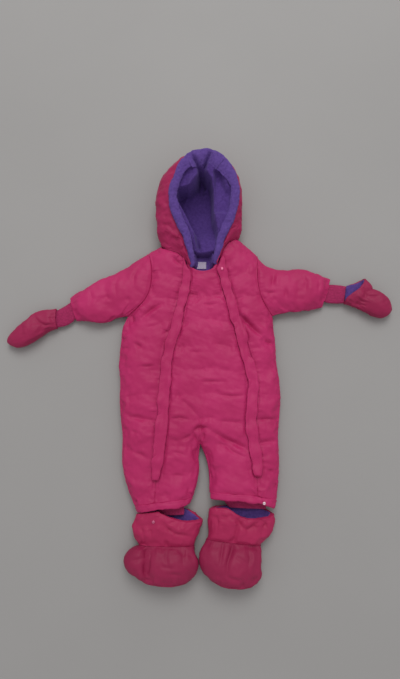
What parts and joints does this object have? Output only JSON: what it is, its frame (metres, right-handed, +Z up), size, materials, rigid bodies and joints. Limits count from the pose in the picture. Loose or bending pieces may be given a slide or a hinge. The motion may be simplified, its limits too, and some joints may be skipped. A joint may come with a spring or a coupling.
{
  "type": "baby snowsuit",
  "caption": "Padded baby snowsuit laid flat, with a deep fleece-lined hood, long covered front zips, knitted wrists and ankles, and matching mittens and bootees.",
  "frame": {"origin": "on the flat underside of the back, on the floor, under the middle of the body", "axes": "+X to the wearer's left, +Y from the bootees to the hood, +Z up out of the front, away from the floor it lies on"},
  "size_m": [0.746, 0.814, 0.0827],
  "materials": {
    "shell": "pink quilted woven polyester, soft sheen",
    "bootee_shell": "the same woven polyester, in a darker shade",
    "rib": "pink rib knit",
    "fleece": "purple fleece",
    "tape": "pink coil zip on woven tape",
    "label": "plain white satin tape",
    "snap": "bright press snap"
  },
  "bodies": {
    "root": {"front_centre": "shell", "front_side_left": "shell", "front_side_right": "shell", "back": "shell", "sleeve_left": "shell", "sleeve_right": "shell", "placket_left": "shell", "placket_right": "shell", "zip_left": "tape", "zip_right": "tape", "hem_band_left": "shell", "hem_band_right": "shell", "wrist_rib_left": "rib", "wrist_rib_right": "rib", "ankle_rib_left": "rib", "ankle_rib_right": "rib", "hood_left": "shell", "hood_right": "shell", "hood_lining": "fleece", "hood_edge": "fleece", "neck_facing": "fleece", "label": "label", "mitten_left": "bootee_shell", "mitten_left_lining": "fleece", "mitten_right": "bootee_shell", "bootee_left_shaft": "bootee_shell", "bootee_left_lining": "fleece", "bootee_left_foot": "bootee_shell", "bootee_left_sole": "bootee_shell", "bootee_right_shaft": "bootee_shell", "bootee_right_lining": "fleece", "bootee_right_foot": "bootee_shell", "bootee_right_sole": "bootee_shell", "snap_neck": "snap", "snap_bootee_right": "snap", "snap_hem_left": "snap"}
  },
  "joints": []
}
